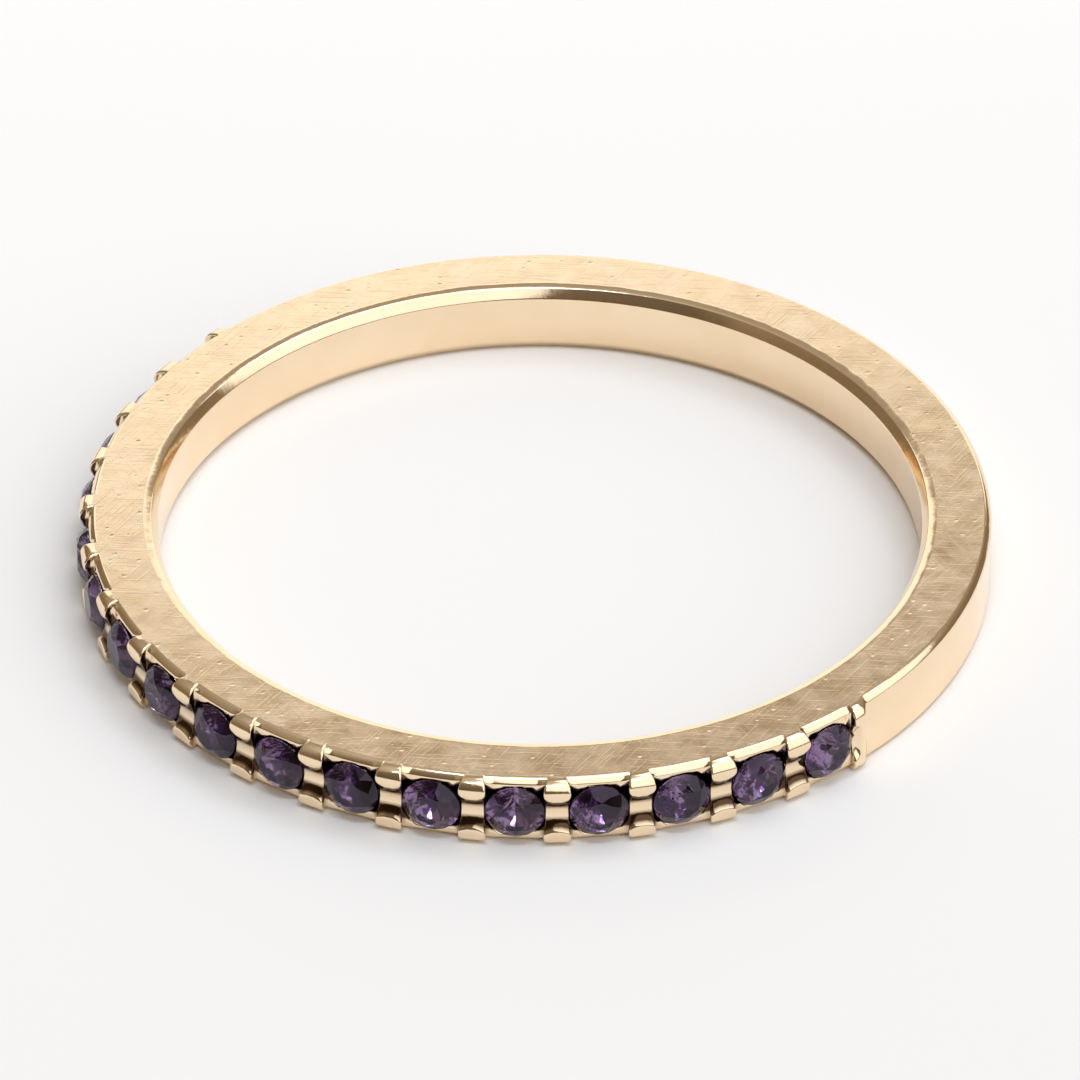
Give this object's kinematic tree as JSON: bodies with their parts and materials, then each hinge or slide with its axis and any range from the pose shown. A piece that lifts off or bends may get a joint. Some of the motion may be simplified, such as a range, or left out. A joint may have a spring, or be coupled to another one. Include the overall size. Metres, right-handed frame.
{
  "type": "stackable ring",
  "caption": "Narrow square-edged stacking ring with a half row of small round violet stones in shared prongs, lying flat on one side face.",
  "frame": {"origin": "on the ring's axis, in the plane of the lower side face, which is the surface that the ring lies on", "axes": "+Z along the ring's axis, up out of the surface; the middle of the stone row points to -Y"},
  "size_m": [0.021, 0.0207, 0.0017],
  "materials": {
    "gold_plate": "pale gold plating: satin side faces with fine scratches, polished inner and outer walls",
    "violet_stone": "faceted round violet glass, polished"
  },
  "bodies": {
    "root": {"band": "gold_plate", "stone_01": "violet_stone", "stone_02": "violet_stone", "stone_03": "violet_stone", "stone_04": "violet_stone", "stone_05": "violet_stone", "stone_06": "violet_stone", "stone_07": "violet_stone", "stone_08": "violet_stone", "stone_09": "violet_stone", "stone_10": "violet_stone", "stone_11": "violet_stone", "stone_12": "violet_stone", "stone_13": "violet_stone", "stone_14": "violet_stone", "stone_15": "violet_stone", "stone_16": "violet_stone", "stone_17": "violet_stone"}
  },
  "joints": []
}
